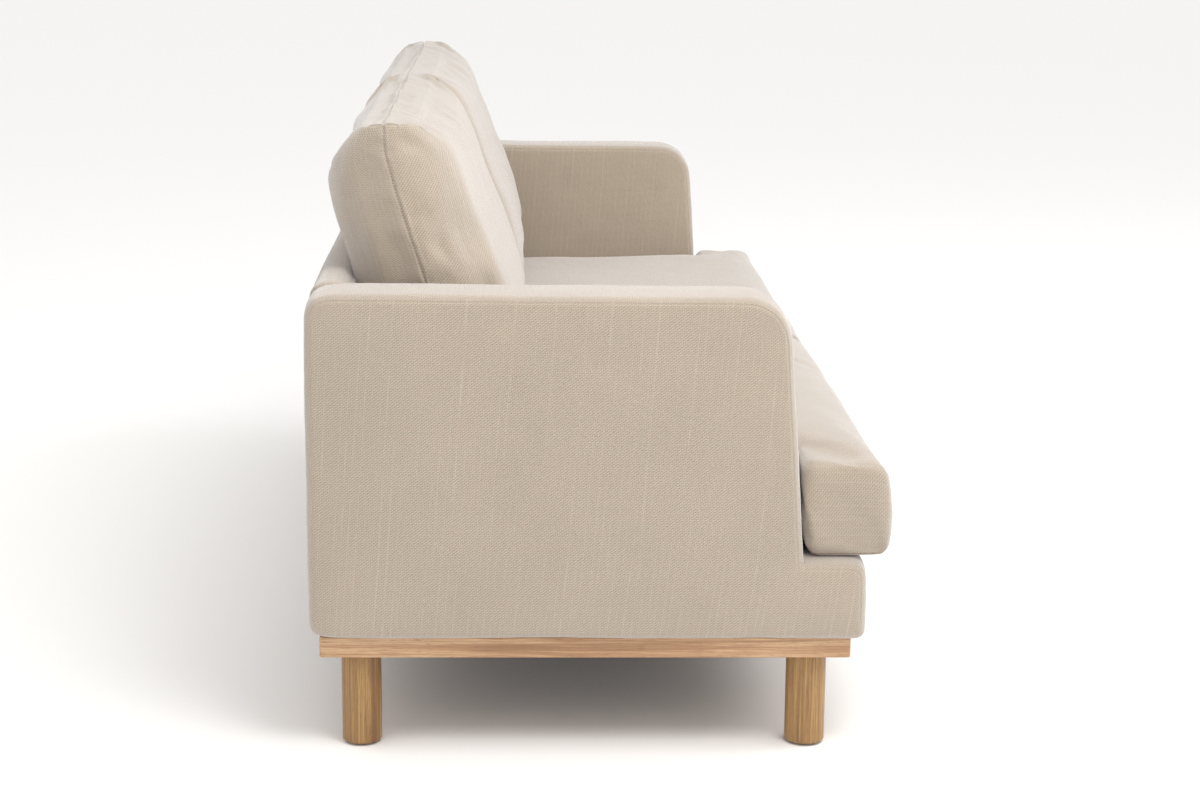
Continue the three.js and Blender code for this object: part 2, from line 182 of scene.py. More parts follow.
def fabric_material():
    """A coarse twill with pale slub threads. U runs across them and V along them, in metres."""
    n = Nodes("fabric")
    uv = n.new("ShaderNodeTexCoord").outputs["UV"]
    twill = n.wave(n.mapped(uv, turn=(0, 0, math.radians(-52))), 88, 3.0, detail_scale=12)
    warp = n.wave(uv, 122, 2.0, detail_scale=5)
    weft = n.wave(n.mapped(uv, turn=(0, 0, math.radians(90))), 126, 2.5, detail_scale=5)
    grain = n.noise(uv, 1300, 2, 0.6)
    thread = n.math("MULTIPLY_ADD", twill, 0.46, n.math("MULTIPLY", warp, 0.24))
    thread = n.math("ADD", thread, n.math("MULTIPLY", weft, 0.30))

    # Slubs: thin lines along V at uneven spacing, which come and go, broken up by the weft.
    line = n.ramp(n.wave(n.mapped(uv, (1, 0.010, 1)), 28, 3.6, detail_scale=3.5),
                  (0.960, 0.0), (0.992, 1.0))
    patch = n.ramp(n.noise(n.mapped(uv, (70, 11, 1)), 1, 1, 0.5), (0.38, 0.15), (0.52, 1.0))
    streak = n.ramp(n.noise(n.mapped(uv, (820, 17, 1)), 1, 1, 0.5), (0.58, 0.0), (0.74, 0.5))
    slub = n.math("MAXIMUM", n.math("MULTIPLY", line, patch), streak)
    slub = n.math("MULTIPLY", slub, n.math("MULTIPLY_ADD", weft, 0.9, 0.1))

    weave = n.ramp(thread, (0.15, WEAVE_DARK), (0.80, WEAVE_LIGHT))
    fleck = n.math("MULTIPLY", n.ramp(grain, (0.42, 0.0), (0.60, 1.0)), 0.42)
    weave = n.mix(fleck, weave, SLUB_PALE)
    weave = n.mix(n.math("MULTIPLY", slub, 0.44), weave, SLUB_PALE)
    wander = n.ramp(n.noise(uv, 7, 2), (0.30, 0.96), (0.70, 1.02))
    colour = n.mix(1.0, weave, wander, "MULTIPLY")

    height = n.math("MULTIPLY_ADD", slub, 0.6, thread)
    height = n.math("MULTIPLY_ADD", grain, 0.3, height)
    n.bump(height, 0.0007, 0.9)
    return n.finish(colour, n.ramp(thread, (0.2, 0.96), (0.8, 0.86)), Sheen_Weight=0.85,
                    Sheen_Roughness=0.55, Sheen_Tint=(0.96, 0.97, 1.0, 1.0),
                    Specular_IOR_Level=0.15)


def oak_material(name, along, dark, middle, light):
    """Pale oak with its grain along one axis: wavy bands, fine fibres and open pores."""
    n = Nodes(name)
    place = n.new("ShaderNodeTexCoord").outputs["Object"]

    def stretch(across, length):
        return tuple(length if i == along else across for i in range(3))

    bend = n.noise(n.mapped(place, stretch(14, 2.2)), 1, 2, 0.5)
    bands = n.noise(n.mapped(place, stretch(150, 3.2)), 1, 2, 0.55, distortion=0.6)
    fibre = n.noise(n.mapped(place, stretch(900, 16)), 1, 3, 0.6)
    pores = n.ramp(n.noise(n.mapped(place, stretch(1100, 60)), 1, 1), (0.60, 0.0), (0.70, 1.0))
    tone = n.math("MULTIPLY_ADD", bend, 0.35, n.math("MULTIPLY", bands, 0.65))
    colour = n.ramp(tone, (0.38, dark), (0.50, middle), (0.60, light))
    colour = n.mix(n.ramp(fibre, (0.38, 0.60), (0.58, 0.0)), colour, dark)
    colour = n.mix(n.math("MULTIPLY", pores, 0.45), colour, tuple(c * 0.5 for c in dark))
    height = n.math("SUBTRACT", n.math("MULTIPLY", fibre, 0.4), pores)
    n.bump(height, 0.0003, 0.5)
    return n.finish(colour, n.ramp(fibre, (0.3, 0.52), (0.7, 0.40)), Coat_Weight=0.12,
                    Coat_Roughness=0.35)


def timber_material(name, dark, light):
    """Rough sawn wood or board, for what the covers hide."""
    n = Nodes(name)
    place = n.new("ShaderNodeTexCoord").outputs["Object"]
    rings = n.wave(place, 22, 9, detail_scale=0.8)
    fibre = n.noise(place, 260, 4, 0.65)
    colour = n.ramp(n.math("MULTIPLY_ADD", fibre, 0.5, n.math("MULTIPLY", rings, 0.5)),
                    (0.25, dark), (0.75, light))
    n.bump(fibre, 0.0004, 0.5)
    return n.finish(colour, 0.8)


def mottled_material(name, dark, light, scale, roughness, depth=0.0004):
    """Foam, fibre, felt or moulded plastic: small cells between two tones."""
    n = Nodes(name)
    place = n.new("ShaderNodeTexCoord").outputs["Object"]
    cells = n.noise(place, scale, 4, 0.65)
    n.bump(cells, depth, 0.6)
    return n.finish(n.ramp(cells, (0.35, dark), (0.65, light)), roughness)


def webbing_material():
    """Elastic tape with darker stripes."""
    n = Nodes("webbing")
    stripe = n.wave(n.new("ShaderNodeTexCoord").outputs["Object"], 16)
    colour = n.ramp(n.math("MULTIPLY", stripe, 0.6),
                    (0.2, (0.07, 0.05, 0.03)), (0.8, (0.22, 0.17, 0.11)))
    return n.finish(colour, 0.85)


def steel_material():
    """Threaded, lightly scuffed steel."""
    n = Nodes("steel")
    place = n.new("ShaderNodeTexCoord").outputs["Object"]
    thread = n.wave(n.mapped(place, (0, 0, 1), (0, math.radians(-90), 0)), 180)
    scuff = n.noise(place, 400, 3)
    n.bump(thread, 0.0006, 0.7)
    return n.finish(n.ramp(scuff, (0.3, 0.42), (0.7, 0.60)),
                    n.ramp(scuff, (0.3, 0.28), (0.7, 0.42)), Metallic=1.0)


def zip_material():
    """Woven tape in the colour of the cover, ribbed across at the pitch of the coil."""
    n = Nodes("zip_tape")
    place = n.new("ShaderNodeTexCoord").outputs["Object"]
    coil = n.wave(place, 150)
    n.bump(coil, 0.0006, 0.8)
    return n.finish(n.ramp(coil, (0.2, (0.24, 0.20, 0.16)), (0.8, (0.42, 0.36, 0.29))), 0.6)


FABRIC = fabric_material()
ZIP_TAPE = zip_material()
PINK_OAK = ((0.300, 0.156, 0.075), (0.478, 0.280, 0.149), (0.610, 0.396, 0.230))
GOLD_OAK = ((0.200, 0.100, 0.035), (0.325, 0.180, 0.062), (0.450, 0.270, 0.098))
OAK = [oak_material("oak_x", 0, *PINK_OAK), oak_material("oak_y", 1, *PINK_OAK),
       oak_material("oak_z", 2, *GOLD_OAK)]
PINE = timber_material("pine", (0.50, 0.32, 0.14), (0.72, 0.53, 0.30))
HARDBOARD = timber_material("hardboard", (0.20, 0.11, 0.05), (0.30, 0.18, 0.09))
FOAM = mottled_material("foam", (0.68, 0.62, 0.42), (0.84, 0.79, 0.60), 420, 0.9, 0.0006)
FIBRE = mottled_material("fibre", (0.78, 0.77, 0.74), (0.92, 0.91, 0.89), 240, 0.95, 0.0012)
LINING = mottled_material("lining", (0.018, 0.017, 0.016), (0.045, 0.043, 0.041), 900, 0.95)
NYLON = mottled_material("nylon", (0.030, 0.028, 0.027), (0.055, 0.052, 0.050), 700, 0.5)
WEBBING = webbing_material()
STEEL = steel_material()


def finish_cad_nodes():
    """Gives every CAD node that stays in view its material."""
    by_slot = {"oak": OAK[0], "pine": PINE, "hardboard": HARDBOARD, "foam": FOAM,
               "fibre": FIBRE, "lining": LINING, "webbing": WEBBING, "steel": STEEL,
               "nylon": NYLON, "fabric": FABRIC}
    slots = {s["node"]: s["material_slot"] for s in frame["record"]["subparts"]}
    for name, node in frame["nodes"].items():
        material = by_slot[slots[name]]
        if name in ("plinth_left", "plinth_right"):
            material = OAK[1]
        node.data.materials.clear()
        node.data.materials.append(material)


# ---------------------------------------------------------------- soft slabs

def grid_lines(stops, steps, spacing, closest=0.0009):
    """Places from the first stop to the last, with extra lines `steps` either side of a stop.

    No gap is wider than `spacing`, and an extra line keeps `closest` away from its neighbour.
    """
    first, last = min(stops), max(stops)
    fixed = {round(s, 5) for s in stops}
    extra = {round(s + sign * d, 5) for s in stops for d in steps for sign in (-1, 1)}
    marks = sorted(fixed | {e for e in extra if first < e < last})
    kept = [m for i, m in enumerate(marks)
            if m in fixed or i == 0 or m - marks[i - 1] > closest]
    lines = []
    for low, high in zip(kept, kept[1:]):
        count = max(1, math.ceil((high - low) / spacing - 0.01))
        lines += [low + (high - low) * i / count for i in range(count)]
    return lines + [last]


class Slab:
    """A soft closed solid: an outline in its own (a, b) plane, given a thickness t.

    The outline is the union of rectangles. Each is (a0, a1, b0, b1, radii), where radii has the
    radius of its corners (a0, b0), (a1, b0), (a1, b1), (a0, b1), and 0 where it has no free
    corner. `edge` rounds the rim, `hem_edge` its lower half, and the crowns swell the flat sides
    and the rim outwards. `wrapped` runs the weave of the sides over the rim.
    """

    def __init__(self, rects, thick, edge, spacing, steps=(), t_stops=(0,), side_crown=0.003,
                 rim_crown=0.004, crown_run=0.06, wrapped=False, hem_edge=None):
        self.rects, self.thick, self.edge, self.wrapped = rects, thick, edge, wrapped
        self.hem_edge = hem_edge or edge
        self.side_crown, self.rim_crown, self.crown_run = side_crown, rim_crown, crown_run
        fine = (edge / 3, edge * 2 / 3, edge, *steps)
        self.a = grid_lines([v for r in rects for v in r[:2]], fine, spacing)
        self.b = grid_lines([v for r in rects for v in r[2:4]], fine, spacing)
        half = thick / 2
        self.t = grid_lines([-half, *t_stops, half], fine[:3], spacing)
        self.verts, self.faces, self.uvs, self.index = [], [], [], {}
        self._build()

    def inside(self, a, b):
        return any(r[0] < a < r[1] and r[2] < b < r[3] for r in self.rects)

    def depth(self, a, b):
        """How far in from the outline a point is, measured squarely."""
        return max(min(a - r[0], r[1] - a, b - r[2], r[3] - b) for r in self.rects)

    def settle(self, a, b):
        """(depth, outward direction, the point once the outline's corners are rounded)."""
        depth = self.depth(a, b)
        out, place = Vector((0, 0)), Vector((a, b))
        for a0, a1, b0, b1, radii in self.rects:
            gaps = (a - a0, a1 - a, b - b0, b1 - b)
            if min(gaps) < depth - TOUCH:
                continue
            right, top = a > (a0 + a1) / 2, b > (b0 + b1) / 2
            radius = radii[(2 if top else 1) if right else (3 if top else 0)]
            centre = Vector((a1 - radius if right else a0 + radius,
                             b1 - radius if top else b0 + radius))
            away = Vector((a, b)) - centre
            if min(away.x * (1 if right else -1), away.y * (1 if top else -1)) > 0 and radius > 0:
                reach = max(abs(away.x), abs(away.y))
                out = away.normalized()
                place = centre + out * reach
                return depth, out, place
            for gap, way in zip(gaps, ((-1, 0), (1, 0), (0, -1), (0, 1))):
                if gap < depth + TOUCH and out.dot(Vector(way)) <= 0:
                    out += Vector(way)
        return depth, out, place

    def vertex(self, i, j, k):
        """The number of the point at these grid lines, made when it is first asked for."""
        key = (i, j, k)
        if key not in self.index:
            a, b, t = self.a[i], self.b[j], self.t[k]
            depth, out, place = self.settle(a, b)
            half = self.thick / 2
            edge = self.hem_edge if j < len(self.b) // 2 else self.edge
            into, over = edge - depth, abs(t) - (half - edge)
            sign = 1 if t > 0 else -1
            if into > 0 and over > 0:
                reach, length = max(into, over), math.hypot(into, over)
                shift = into - into / length * reach
                place = place - out * shift
                t = sign * (half - edge + over / length * reach)
            if k in (0, len(self.t) - 1):
                rise = min(1, max(0, depth) / self.crown_run)
                t += sign * self.side_crown * math.sin(rise * math.pi / 2)
            if depth < TOUCH:
                place = place + out * self.rim_crown * (1 - (self.t[k] / half) ** 2)
            self.index[key] = len(self.verts)
            self.verts.append((place.x, place.y, t))
        return self.index[key]

    def _build(self):
        """Faces with their UVs in metres: U across the slub threads, V along them."""
        cells = {(i, j) for i in range(len(self.a) - 1) for j in range(len(self.b) - 1)
                 if self.inside((self.a[i] + self.a[i + 1]) / 2, (self.b[j] + self.b[j + 1]) / 2)}
        last = len(self.t) - 1
        for i, j in cells:
            ring = ((i, j), (i + 1, j), (i + 1, j + 1), (i, j + 1))
            for k in (0, last):
                self.faces.append([self.vertex(p, q, k) for p, q in ring])
                self.uvs.append([(self.a[p], self.b[q]) for p, q in ring])
            for (di, dj), (one, two) in (((-1, 0), (0, 3)), ((1, 0), (1, 2)),
                                         ((0, -1), (0, 1)), ((0, 1), (3, 2))):
                if (i + di, j + dj) in cells:
                    continue
                (p, q), (r, s) = ring[one], ring[two]
                for k in range(last):
                    corners = ((p, q, k), (r, s, k), (r, s, k + 1), (p, q, k + 1))
                    self.faces.append([self.vertex(*c) for c in corners])
                    self.uvs.append([self.rim_uv(*c, di, dj) for c in corners])

    def rim_uv(self, i, j, k, di, dj):
        """On the rim, a panel that wraps over it runs on; a boxing strip runs along it."""
        a, b, t = self.a[i], self.b[j], self.t[k]
        if self.wrapped:
            over = self.thick / 2 - abs(t)
            return a + di * over, b + dj * over
        return t, (a if di == 0 else b)

    def ring_seam(self, inset, sides=(0, -1), keep=lambda a, b: True):
        """Edges of a seam that runs round a flat side, `inset` in from the outline."""
        last = len(self.t) - 1
        levels = {s % (last + 1) for s in sides}
        on = {key for key in self.index if key[2] in levels
              and abs(self.depth(self.a[key[0]], self.b[key[1]]) - inset) < LINE_SLOP
              and keep(self.a[key[0]], self.b[key[1]])}
        return self._pairs(on, ((1, 0, 0), (0, 1, 0)))

    def rim_seam(self, t):
        """Edges of a seam that runs round the rim at thickness t."""
        k = min(range(len(self.t)), key=lambda i: abs(self.t[i] - t))
        on = {key for key in self.index if key[2] == k
              and self.depth(self.a[key[0]], self.b[key[1]]) < TOUCH}
        return self._pairs(on, ((1, 0, 0), (0, 1, 0)))

    def cross_seam(self, a, b, low, high):
        """Edges of a short seam across the rim at the outline's corner (a, b)."""
        i = min(range(len(self.a)), key=lambda n: abs(self.a[n] - a))
        j = min(range(len(self.b)), key=lambda n: abs(self.b[n] - b))
        on = {key for key in self.index
              if key[:2] == (i, j) and low - TOUCH <= self.t[key[2]] <= high + TOUCH}
        return self._pairs(on, ((0, 0, 1),))

    def _pairs(self, on, steps):
        """The edges between grid points of `on` that are one step apart."""
        pairs = []
        for key in on:
            for step in steps:
                other = tuple(k + s for k, s in zip(key, step))
                if other in on:
                    pairs.append((self.index[key], self.index[other]))
        return pairs


def slab_object(name, slab, warp, uv=lambda u, v: (u, v)):
    """The slab as an object, every point put in place by warp(a, b, t)."""
    mesh = bpy.data.meshes.new(name)
    mesh.from_pydata([warp(*v) for v in slab.verts], [], slab.faces)
    layer = mesh.uv_layers.new(name="metres")
    flat = [pair for face in slab.uvs for pair in face]
    layer.data.foreach_set("uv", [c for pair in flat for c in uv(*pair)])
    b = bmesh.new()
    b.from_mesh(mesh)
    bmesh.ops.recalc_face_normals(b, faces=b.faces)
    b.to_mesh(mesh)
    b.free()
    return link(name, mesh)


def link(name, mesh, material=FABRIC):
    """A smooth-shaded object of this mesh, in the scene."""
    obj = bpy.data.objects.new(name, mesh)
    bpy.context.scene.collection.objects.link(obj)
    mesh.materials.append(material)
    mesh.shade_smooth()
    return obj


def apply_modifiers(obj):
    """Makes the shape its modifiers give the object's own mesh."""
    graph = bpy.context.evaluated_depsgraph_get()
    mesh = bpy.data.meshes.new_from_object(obj.evaluated_get(graph))
    obj.modifiers.clear()
    old, obj.data = obj.data, mesh
    bpy.data.meshes.remove(old)


def smooth_once(obj):
    """One level of subdivision, applied."""
    obj.modifiers.new("Subdivision", "SUBSURF").levels = 1
    apply_modifiers(obj)
    obj.data.shade_smooth()


# ------------------------------------------------------------ seams and cloth

def sew(obj, pairs, seed, width, depth, pucker, gathers):
    """Sinks a narrow groove along the edges in `pairs`, smooths the piece, puckers beside it."""
    b = bmesh.new()
    b.from_mesh(obj.data)
    b.verts.ensure_lookup_table()
    edges = [b.edges.get((b.verts[p], b.verts[q])) for p, q in pairs]
    edges = [e for e in edges if e is not None]
    line = sample_line(edges)
    made = bmesh.ops.bevel(b, geom=edges, offset=width, offset_type="OFFSET", segments=2,
                           profile=0.5, affect="EDGES", clamp_overlap=True)
    b.normal_update()
    tree = KDTree(len(line))
    for i, place in enumerate(line):
        tree.insert(place, i)
    tree.balance()
    for v in made["verts"]:
        if v.is_valid and tree.find(v.co)[2] < width * 0.6:  # on the bevel's middle line
            v.co -= v.normal * depth
    b.to_mesh(obj.data)
    b.free()
    smooth_once(obj)
    pucker_beside(obj, tree, pucker, gathers, seed)


def sample_line(edges, spacing=0.002):
    """Places along the edges, about `spacing` apart."""
    places = []
    for e in edges:
        one, two = (v.co.copy() for v in e.verts)
        count = max(1, int((two - one).length / spacing))
        places += [one.lerp(two, i / count) for i in range(count + 1)]
    return places


def push_out(obj, amount):
    """Moves each point along its normal by amount(place); normals are read once, before moving."""
    mesh = obj.data
    moved = [v.co + v.normal * amount(v.co) for v in mesh.vertices]
    mesh.vertices.foreach_set("co", [c for place in moved for c in place])
    mesh.update()


def pucker_beside(obj, tree, amount, gathers, seed):
    """Small puckers beside a seam, and longer gathers that run out from it and fade."""
    reach, fade, period = 0.16, 0.009, 0.010
    gather_start, gather_fade, gather_period = 0.006, 0.040, 0.030

    def wave(co):
        place, _, away = tree.find(co)
        if away > reach:
            return 0
        small = noise.noise(place / period + Vector((seed, 0, 0)))
        large = noise.noise(place / gather_period + Vector((0, seed, 0)))
        lift = amount * small * math.exp(-away / fade)
        rise = min(1, away / gather_start)
        return lift + gathers * large * math.exp(-away / gather_fade) * rise

    push_out(obj, wave)


def rumple(obj, amount, scale, seed):
    """Gentle unevenness, as padding has under its cover."""
    shift = Vector((seed, seed * 0.7, 0))
    push_out(obj, lambda co: amount * noise.noise(co / scale + shift))


def inflate(obj, pressure, held, frames, cap, bending, slack=0.0):
    """Swells a piece by cloth simulation. Its seams, the pairs in `held`, stay where they are.

    No point moves further than `cap`, and `slack` is the share the cloth may grow by.
    """
    stiffness = 12
    scene = bpy.context.scene
    rest = [v.co.copy() for v in obj.data.vertices]
    seam = obj.vertex_groups.new(name="seam")
    seam.add(sorted({v for pair in held for v in pair}), 1.0, "REPLACE")
    cloth = obj.modifiers.new("Cloth", "CLOTH")
    settings = cloth.settings
    settings.quality = 6
    settings.mass = 0.3
    settings.tension_stiffness = stiffness
    settings.compression_stiffness = stiffness
    settings.shear_stiffness = stiffness / 3
    settings.bending_stiffness = bending
    settings.shrink_min = -slack
    settings.use_pressure = True
    settings.uniform_pressure_force = pressure
    settings.effector_weights.gravity = 0
    settings.vertex_group_mass = "seam"
    cloth.point_cache.frame_start = 1
    cloth.point_cache.frame_end = frames
    for step in range(1, frames + 1):
        scene.frame_set(step)
    graph = bpy.context.evaluated_depsgraph_get()
    swollen = [v.co.copy() for v in obj.evaluated_get(graph).data.vertices]
    obj.modifiers.clear()
    for v, before, after in zip(obj.data.vertices, rest, swollen):
        move = after - before
        if move.length > cap:
            move *= cap / move.length
        v.co = before + move
    scene.frame_set(1)


# -------------------------------------------------------------------- pieces

def fabric_piece(obj, body, *nodes):
    """Rides on `body` and stands for the CAD nodes named."""
    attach(obj, body)
    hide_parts(*nodes)


def leaning_threads(y, z):
    """The slub threads lean forward a little more towards the front of the side panel."""
    rear_lean, extra_lean = 0.07, 0.08
    rear_y, run, level_z = 0.40, 0.75, 0.45
    lean = rear_lean + extra_lean * min(1, max(0, (rear_y - y) / run))
    return y + lean * (z - level_z), z


def make_arm(side_name, side):
    """An arm with the end of the base below it, in one stepped cover with boxed edges."""
    rects = [
        (ARM_FRONT_Y, arm_high.y, arm_low.z, ARM_TOP_Z, (0, 0.022, 0.034, 0.062)),
        (arm_low.y, arm_high.y, arm_low.z, DECK_Z, (0.014, 0.016, 0, 0.020)),
    ]
    slab = Slab(rects, ARM_THICK, edge=0.011, spacing=0.014, steps=(PANEL_SEAM,),
                side_crown=0.0025, rim_crown=0.004)
    height = ARM_TOP_Z - DECK_Z

    def warp(a, b, t):
        up = min(1, max(0, (b - DECK_Z) / height))
        ahead = (arm_high.y - a) / (arm_high.y - ARM_FRONT_Y)
        y = a + ARM_FRONT_LEAN * up * ahead
        z = b - ARM_TOP_FALL * up * ahead
        return side * ((arm_low.x + arm_high.x) / 2 + t), y, z

    arm = slab_object(f"arm_{side_name}", slab, warp, leaning_threads)
    seams = slab.ring_seam(PANEL_SEAM, keep=lambda a, b: b > arm_low.z + ARM_HEM_FREE)
    sew(arm, seams, seed=side * 3.1, gathers=0.0004, **TIGHT_SEAM)
    rumple(arm, 0.0016, 0.16, 5 + side)
    rumple(arm, 0.0005, 0.03, 9 + side)
    hem_waves(arm, arm_low.z)
    fabric_piece(arm, "frame", f"arm_cover_{side_name}")


def hem_waves(obj, hem_z, height=0.0016, fade=0.012):
    """The stapled hem rises and falls a little along its edge."""
    for v in obj.data.vertices:
        near = math.exp(-max(0, v.co.z - hem_z) / fade)
        v.co.z += near * height * noise.noise(Vector((v.co.x * 9, v.co.y * 11, 2.0)))


def make_back():
    """The slim back between the arms. Its inner face leans forward towards the deck."""
    low_x, high_x = shell_low.x - 2 * SEWN_IN, shell_high.x + 2 * SEWN_IN
    rear, top = shell_high.y, shell_high.z
    thick, foot_lean = 0.060, 0.040
    slab = Slab([(low_x, high_x, shell_low.z, top, (0.004, 0.004, 0.006, 0.006))], thick,
                edge=0.026, hem_edge=0.009, spacing=0.020, steps=(PANEL_SEAM,),
                side_crown=0.002, rim_crown=0.003)

    def warp(a, b, t):
        down = min(1, max(0, (top - b) / (top - DECK_Z)))
        inner = (0.5 - t / thick) * foot_lean * down
        return a, rear - thick / 2 + t - inner, b

    back = slab_object("back", slab, warp)
    seams = slab.ring_seam(PANEL_SEAM, keep=lambda a, b: b > shell_low.z + BACK_HEM_FREE)
    sew(back, seams, seed=7.7, gathers=0.0005, **TIGHT_SEAM)
    rumple(back, 0.002, 0.2, 2)
    hem_waves(back, shell_low.z)
    fabric_piece(back, "frame", "back_cover")


def make_border():
    """The padded face of the base under the seat cushions."""
    thick = border_high.y - border_low.y
    low_x, high_x = border_low.x - SEWN_IN, border_high.x + SEWN_IN
    slab = Slab([(low_x, high_x, border_low.z, border_high.z, (0.003,) * 4)], thick,
                edge=0.012, spacing=0.018, side_crown=0.003, rim_crown=0.001, crown_run=0.04)
    middle = (border_low.y + border_high.y) / 2
    border = slab_object("front_border", slab, lambda a, b, t: (a, middle + t, b))
    smooth_once(border)
    rumple(border, 0.0015, 0.15, 4)
    hem_waves(border, border_low.z)
    fabric_piece(border, "frame", "front_border_cover")


def make_seat_cushion(side_name, side):
    """A T-shaped foam cushion whose ear reaches round the front of the arm."""
    front, rear = seat_low.y + 0.001, seat_high.y - 0.006
    near, far = seat_low.x + 0.002, arm_low.x - 0.006
    ear, ear_rear = seat_high.x - 0.004, ARM_FRONT_Y - 0.0045
    ear_root = 0.30  # anywhere well inside the cushion
    thick = seat_high.z - seat_low.z - 0.006
    rects = [
        (near, far, front, rear, (0.018, 0, 0.035, 0.030)),
        (ear_root, ear, front, ear_rear, (0, 0.011, 0.020, 0)),
    ]
    seam_in = 0.006
    slab = Slab(rects, thick, edge=0.016, spacing=0.014, steps=(seam_in,), side_crown=0.006,
                rim_crown=0.0045, crown_run=0.12)
    middle = (seat_low.z + seat_high.z) / 2
    rear_drop, front_rise = 0.006, 0.008
    nose_drop, nose_run = 0.013, 0.05  # the top falls away over the last stretch at the front

    def warp(a, b, t):
        ahead, up = (rear - b) / (rear - front), t / thick + 0.5
        z = middle + t + up * (front_rise * ahead - rear_drop)
        z -= nose_drop * up ** 2 * max(0, 1 - (b - front) / nose_run) ** 2
        return side * a, b, z

    seat = slab_object(f"seat_cushion_{side_name}", slab, warp)
    seams = slab.ring_seam(seam_in, sides=(0,))
    inflate(seat, 2.5, seams, frames=14, cap=0.008, bending=6)
    sew(seat, seams, seed=side * 5.3, pucker=0.0008, gathers=0.0010, **CUSHION_SEAM)
    rumple(seat, 0.0022, 0.15, 3 + side)
    rumple(seat, 0.0007, 0.04, 8 + side)
    fabric_piece(seat, f"seat_cushion_{side_name}", f"seat_cushion_cover_{side_name}",
                 f"seat_foam_{side_name}")
    return seat


# Side profiles of a back cushion: share of its height, then Y and Z.
BACK_FRONT_CURVE = ((0.0, 0.116, 0.424), (0.22, 0.118, 0.520), (0.47, 0.150, 0.640),
                    (0.64, 0.180, 0.712), (0.84, 0.214, 0.808), (1.0, 0.251, 0.882))
BACK_REAR_CURVE = ((0.0, 0.316, 0.424), (0.5, 0.338, 0.650), (0.78, 0.368, 0.770),
                   (0.92, 0.374, 0.834), (1.0, 0.358, 0.878))


def along_curve(curve, f):
    """The (y, z) of a side profile at share f of its height, eased between its points."""
    f = min(1, max(0, f))
    for i, (one, two) in enumerate(zip(curve, curve[1:])):
        if f <= two[0] or two is curve[-1]:
            before = curve[max(0, i - 1)]
            after = curve[min(len(curve) - 1, i + 2)]
            run = two[0] - one[0]
            s = (f - one[0]) / run
            values = []
            for c in (1, 2):
                m0 = (two[c] - before[c]) / (two[0] - before[0]) * run
                m1 = (after[c] - one[c]) / (after[0] - one[0]) * run
                values.append((2 * s**3 - 3 * s**2 + 1) * one[c] + (s**3 - 2 * s**2 + s) * m0
                              + (3 * s**2 - 2 * s**3) * two[c] + (s**3 - s**2) * m1)
            return values
    return curve[-1][1:]


def make_back_cushion(side_name, side):
    """A fibre-filled cushion of two panels, with one seam round it and boxed corners."""
    near, far = back_low.x + 0.008, back_high.x - 0.014
    height, thick = back_high.z - back_low.z, 0.20
    box_seam = 0.036  # half the length of the short seam across a boxed corner
    box_in = 0.005  # how far that seam is from the end of the outline
    lip, lip_reach, lip_run = 0.004, box_seam * 1.3, 0.006
    slab = Slab([(near, far, 0, height, (0.030, 0.030, 0.008, 0.008))], thick, edge=0.044,
                spacing=0.014, steps=(box_in,), t_stops=(-box_seam, 0, box_seam),
                side_crown=0.010, rim_crown=0.014, crown_run=0.15, wrapped=True)

    def warp(a, b, t):
        f = b / height
        front, rear = along_curve(BACK_FRONT_CURVE, f), along_curve(BACK_REAR_CURVE, f)
        share = t / thick + 0.5
        y, z = (p + (q - p) * share for p, q in zip(front, rear))
        if b > height - box_in / 2:  # the corner's seam allowance stands out above its seam
            stand = lip * max(0, 1 - (t / lip_reach) ** 2)
            at_far = max(0, 1 - abs(far - a) / lip_run)
            at_near = max(0, 1 - abs(a - near) / lip_run)
            a += stand * at_far - stand * at_near
        return side * a, y, z

    cushion = slab_object(f"back_cushion_{side_name}", slab, warp)
    seams = slab.rim_seam(0)
    for end_a in (near, far):
        for end_b in (box_in, height - box_in):
            seams += slab.cross_seam(end_a, end_b, -box_seam, box_seam)
    inflate(cushion, 3.0, seams, frames=18, cap=0.012, bending=2.5, slack=0.006)
    sew(cushion, seams, seed=side * 2.3, pucker=0.0012, gathers=0.0028, **CUSHION_SEAM)
    rumple(cushion, 0.003, 0.10, 11 + side)
    rumple(cushion, 0.0012, 0.045, 14 + side)
    fabric_piece(cushion, f"back_cushion_{side_name}", f"back_cushion_cover_{side_name}",
                 f"back_fill_{side_name}")
    return cushion


# Millimetres. The section goes across the zip and out from the cloth; a box of the slider has
# its size and then its place, both along the zip, across it and out.
ZIP_SECTION = ((-7.5, -1.0), (-6.8, 0.7), (-2.4, 0.7), (-1.5, 2.0), (1.5, 2.0), (2.4, 0.7),
               (6.8, 0.7), (7.5, -1.0))
ZIP_END_SUNK = 3
ZIP_SLIDER = (((9, 7, 4), (0, 0, 2)), ((17, 4.5, 1.2), (-11, 0, 4.2)))


